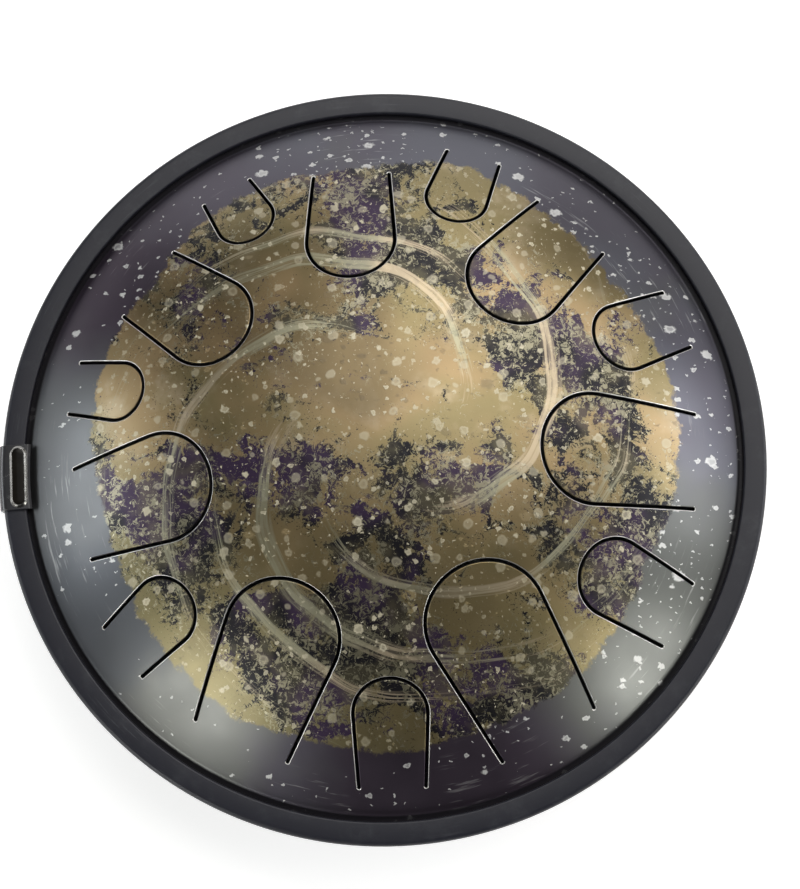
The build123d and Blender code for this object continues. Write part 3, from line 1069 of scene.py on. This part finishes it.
def gold_layers(paint, radius, jitter):
    """Mottled gold under sponge dabs, brush sweeps and cream flecks. Returns colour, dabs and flecks."""
    cluster = paint.noise(*CLUSTERS, place=paint.vector("ADD", [paint.place, CLUSTER_SHIFT]))
    wash = sponged(paint, cluster, WASH_WEIGHTS, CLUSTER_SHIFT)
    dark = sponged(paint, cluster, DAB_WEIGHTS, CLUSTER_SHIFT)
    pale = sponged(paint, cluster, PALE_WEIGHTS, PALE_SHIFT)
    stipple = paint.noise(*STIPPLE) + (dark - DAB_LEVELS[0]) * STIPPLE_PULL
    wash = paint.ramp(wash, *WASH_LEVELS)
    dabs = paint.ramp(dark, *DAB_LEVELS) | paint.ramp(stipple, *STIPPLE_LEVELS)
    dabs = dabs * paint.clouds(*DAB_CLOUDS).above(LEAST_DAB)
    pale = paint.ramp(pale, *PALE_LEVELS)
    ink = paint.mix(paint.clouds(*INK_CLOUDS), INK, INK_VIOLET)
    gold = paint.mix(wash * WASH_STRENGTH, gold_clouds(paint), KHAKI)
    gold = paint.mix(dabs, gold, ink)
    gold = paint.mix(pale * PALE_STRENGTH, gold, ASH)
    tint = paint.mix(paint.clouds(*SWEEP_CLOUDS), CHAMPAGNE, SAGE)
    angle = paint.bearing()
    wander = paint.wander(*SWEEP_WANDER)
    for sweep in BRUSH_SWEEPS:
        brushed = brush_sweep(paint, radius, angle, wander, *sweep)
        gold = paint.mix(brushed * SWEEP_STRENGTH, gold, tint)
    cream = paint.scattered(jitter, CREAM_DROPS)
    cream = cream * paint.clouds(*CREAM_CLOUDS).above(LEAST_CREAM)
    cream = cream | paint.drops(paint.warped(*SPOT_WARP), *CREAM_SPOTS) * SPOT_STRENGTH
    return paint.mix(cream, gold, CREAM), dabs - pale * dabs, cream


def lacquer_relief(paint, specks):
    return paint.bump(paint.noise(PEEL_SIZE) * PEEL_HEIGHT + specks * SPECK_HEIGHT, *PAINT_RELIEF)


def drum_paint():
    """Pearl ground with a torn-edged field of mottled gold, lacquered, with painted shade along the
    band.
    """
    paint = Paint("drum_paint", "2D")
    radius = paint.radius()
    jitter = paint.warped(*DROP_WARP)
    ground, splatter = ground_layers(paint, jitter)
    gold, dabs, cream = gold_layers(paint, radius, jitter)
    border = radius + paint.wander(*FIELD_WAVER) + paint.wander(*FIELD_TEAR)
    field = paint.ramp(border, FIELD_RADIUS + FIELD_FEATHER, FIELD_RADIUS)
    colour = paint.mix(field, paint.mix(splatter * DRUM_SILVER, ground, SILVER), gold)
    # Painted shade: a dark ring at the rim where the band's lip shades the bend, which also dims the
    # bend's highlight
    band_shade = paint.ramp(radius, BAND_SHADE_RADIUS, BAND_SHADE_RADIUS + BAND_SHADE_WIDTH)
    colour = paint.mix(band_shade * BAND_SHADE_STRENGTH, colour, INK)
    dabs = field * dabs
    specks = field * cream | splatter
    roughness = paint.noise(*HAZE) * DRUM_HAZE + DRUM_ROUGHNESS
    roughness = roughness + dabs * DAB_ROUGHNESS + specks * SPECK_ROUGHNESS + band_shade * BAND_SHADE_ROUGHNESS
    return paint.finish(
        base_color=colour,
        metallic=dabs * DAB_METALLIC - specks * SPECK_METALLIC_LOSS + PAINT_METALLIC,
        roughness=roughness,
        coat_weight=0.22, coat_roughness=0.22,
        normal=lacquer_relief(paint, specks),
    )


def bowl_paint():
    """Pearl ground of the bottom shell."""
    paint = Paint("bowl_paint")
    ground, splatter = ground_layers(paint, paint.warped(*DROP_WARP))
    return paint.finish(
        base_color=paint.mix(splatter * BOWL_SILVER, ground, SILVER),
        metallic=0.65,
        roughness=paint.noise(*HAZE) * BOWL_HAZE + BOWL_ROUGHNESS,
        coat_weight=0.35, coat_roughness=0.22,
        normal=lacquer_relief(paint, splatter),
    )


def metal(name, light, dark, roughness, grain=TARNISH_SIZE):
    """Bare or plated metal with cloudy tarnish and fine scratches."""
    paint = Paint(name)
    tarnish = paint.clouds(grain, *TARNISH_CLOUDS)
    stretched = paint.vector("MULTIPLY", [paint.place, SCRATCH_STRETCH])
    scratched = paint.noise(*SCRATCHES, place=stretched)
    return paint.finish(
        base_color=paint.mix(tarnish, light, dark),
        metallic=1.0,
        roughness=tarnish * TARNISH_ROUGHNESS + scratched * SCRATCH_ROUGHNESS + roughness,
        normal=paint.bump(scratched, *SCRATCH_RELIEF),
    )


def rubber(name, base, dusty, dust_share):
    """Matt moulded rubber with scuffs that run round its axis, dust and a fine grain."""
    paint = Paint(name)
    round_axis = paint.bearing() * SCUFF_ROUND
    outward = paint.radius() * SCUFF_ACROSS
    upward = paint.node("SeparateXYZ", [paint.place], "Z") * SCUFF_ACROSS
    along = paint.node("CombineXYZ", [round_axis, outward, upward])
    scuff = paint.ramp(paint.noise(*SCUFFS, place=along), *SCUFF_LEVELS) * paint.clouds(*SCUFF_CLOUDS)
    grain = paint.noise(RUBBER_GRAIN_SIZE)
    colour = paint.mix(paint.clouds(*DUST_CLOUDS) * dust_share, base, dusty)
    return paint.finish(
        base_color=paint.mix(scuff * SCUFF_STRENGTH, colour, dusty),
        roughness=grain * RUBBER_GRAIN + RUBBER_ROUGHNESS + scuff * SCUFF_ROUGHNESS,
        specular_ior_level=0.42,
        normal=paint.bump(grain + scuff * SCUFF_HEIGHT, *RUBBER_RELIEF),
    )


def moulded_plastic():
    """Black plastic with a fine grain, worn in patches."""
    paint = Paint("clip_plastic")
    grain = paint.noise(PLASTIC_GRAIN_SIZE)
    worn = paint.clouds(*WEAR_CLOUDS)
    return paint.finish(
        base_color=paint.mix(worn * WEAR_STRENGTH, PLASTIC_BLACK, PLASTIC_WORN),
        roughness=grain * PLASTIC_GRAIN + worn * WEAR_ROUGHNESS + PLASTIC_ROUGHNESS,
        specular_ior_level=0.65,
        normal=paint.bump(grain, *PLASTIC_RELIEF),
    )


def cloudy(name, field, first, second, roughness, roughness_range, relief, **sockets):
    """A plain material, clouded between two colours."""
    paint = Paint(name)
    cloud = paint.noise(*field)
    return paint.finish(
        base_color=paint.mix(cloud, first, second),
        roughness=cloud * roughness_range + roughness,
        normal=paint.bump(cloud, *relief),
        **sockets,
    )


def pale_floor():
    """Pale, with a glow that leaves out the middle under the drum, as a painted shadow."""
    paint = Paint("floor")
    radius = paint.radius()
    cloud = paint.noise(*FLOOR_CLOUDS)
    # Painted shadow: the glow fades out under the drum
    glow = paint.ramp(radius, FLOOR_SHADOW_CORE, FLOOR_SHADOW_EDGE) * FLOOR_GLOW
    return paint.finish(
        base_color=paint.mix(cloud, FLOOR_GREY, FLOOR_WHITE),
        roughness=cloud * FLOOR_ROUGHNESS_RANGE + FLOOR_ROUGHNESS,
        emission_color=WHITE,
        emission_strength=glow + paint.ramp(radius, FLOOR_NEAR, FLOOR_FAR) * FLOOR_LIFT,
    )


# Camera, lights and floor
def add_camera():
    back = Vector((
        math.sin(CAMERA_TURN) * math.cos(CAMERA_ELEVATION),
        -math.cos(CAMERA_TURN) * math.cos(CAMERA_ELEVATION),
        math.sin(CAMERA_ELEVATION),
    ))
    right = Vector((0, 1, 0)).cross(back).normalized()
    up = back.cross(right)
    data = bpy.data.cameras.new("camera")
    data.lens = CAMERA_LENS
    data.shift_x, data.shift_y = CAMERA_SHIFT
    camera = add_object("camera", data)
    turn = Matrix((right, up, back)).transposed().to_4x4()
    camera.matrix_world = Matrix.Translation(RIM_CENTRE + back * CAMERA_DISTANCE) @ turn
    bpy.context.scene.camera = camera


def add_lights():
    for name, (bearing, elevation, distance, width, height, power, colour) in SOFT_BOXES.items():
        turn = math.radians(bearing)
        rise = math.radians(elevation)
        away = Vector((math.cos(turn) * math.cos(rise), math.sin(turn) * math.cos(rise), math.sin(rise)))
        data = bpy.data.lights.new(name, "AREA")
        data.shape = "RECTANGLE"
        data.size = width
        data.size_y = height
        data.energy = power
        data.color = colour
        light = add_object(name, data)
        light.location = RIM_CENTRE + away * distance
        light.rotation_euler = (-away).to_track_quat("-Z", "Y").to_euler()
        light.visible_camera = False


def add_backdrop():
    world = bpy.data.worlds.new("studio")
    world.use_nodes = True
    nodes = world.node_tree.nodes
    links = world.node_tree.links
    direction = nodes.new("ShaderNodeTexCoord")
    parts = nodes.new("ShaderNodeSeparateXYZ")
    fall = nodes.new("ShaderNodeMapRange")
    fall.interpolation_type = "SMOOTHSTEP"
    for place, value in enumerate((HORIZON_TOP, ZENITH_START, HORIZON_LIGHT, ZENITH_LIGHT), 1):
        fall.inputs[place].default_value = value
    links.new(direction.outputs["Generated"], parts.inputs[0])
    links.new(parts.outputs["Z"], fall.inputs[0])
    links.new(fall.outputs[0], nodes["Background"].inputs["Strength"])
    nodes["Background"].inputs["Color"].default_value = (*WHITE, 1)
    bpy.context.scene.world = world
    bpy.context.scene.view_settings.view_transform = "Standard"


def add_floor():
    near, far = -FLOOR_REACH, FLOOR_REACH
    corners = [(near, near, 0), (far, near, 0), (far, far, 0), (near, far, 0)]
    mesh = bpy.data.meshes.new("floor")
    mesh.from_pydata(corners, [], [(0, 1, 2, 3)])
    mesh.materials.append(pale_floor())
    floor = add_object("floor", mesh)


add_camera()
add_lights()
add_backdrop()
add_floor()

# Top shell and tongues
raw_steel = metal("raw_steel", light=(0.10, 0.10, 0.105), dark=(0.05, 0.045, 0.04), roughness=0.45)
lacquer = drum_paint()
bare_edge = metal("bare_edge", light=(0.80, 0.79, 0.77), dark=(0.52, 0.51, 0.48), roughness=0.26)
shell_finishes = [lacquer, bare_edge, raw_steel]
dome_piece(shell_finishes)
for number in range(len(TONGUE_ANGLES)):
    tongue_piece(number, shell_finishes)

# Band, clip, plate and feet
band_rubber = rubber(
    "band_rubber", base=(0.0140, 0.0145, 0.0215), dusty=(0.068, 0.072, 0.080), dust_share=0.25
)
band_piece(band_rubber)
clip_piece(moulded_plastic())
plate_metal = metal("plate_metal", light=(0.33, 0.325, 0.31), dark=(0.22, 0.215, 0.20), roughness=0.10)
plate_enamel = cloudy(
    "plate_enamel",
    field=(0.004, 3), first=(0.006, 0.0055, 0.005), second=(0.014, 0.012, 0.009),
    roughness=0.14, roughness_range=0.08, relief=(0.00004, 0.2), specular_ior_level=0.14,
)
plate_pieces(plate_metal, plate_enamel)
foot_rubber = rubber(
    "foot_rubber", base=(0.022, 0.022, 0.023), dusty=(0.08, 0.08, 0.08), dust_share=0.35
)
for number in range(1, FOOT_COUNT + 1):
    foot_piece(number, foot_rubber)

# Nodes that stay as they are, in new materials
zinc = metal(
    "fastener_zinc", light=(0.62, 0.62, 0.60), dark=(0.45, 0.44, 0.40), roughness=0.28, grain=0.002
)
adhesive = cloudy(
    "adhesive",
    field=(0.003, 4, 0.6), first=(0.30, 0.27, 0.20), second=(0.42, 0.39, 0.31),
    roughness=0.45, roughness_range=0.2, relief=(0.0001, 0.4),
)
kept_finishes = {
    "bottom_shell": bowl_paint(),
    "flange_seal": adhesive,
    "foot_screws": zinc,
    "foot_washers": zinc,
    "foot_nuts": zinc,
}
for node, material in kept_finishes.items():
    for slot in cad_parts[node].material_slots:
        slot.material = material
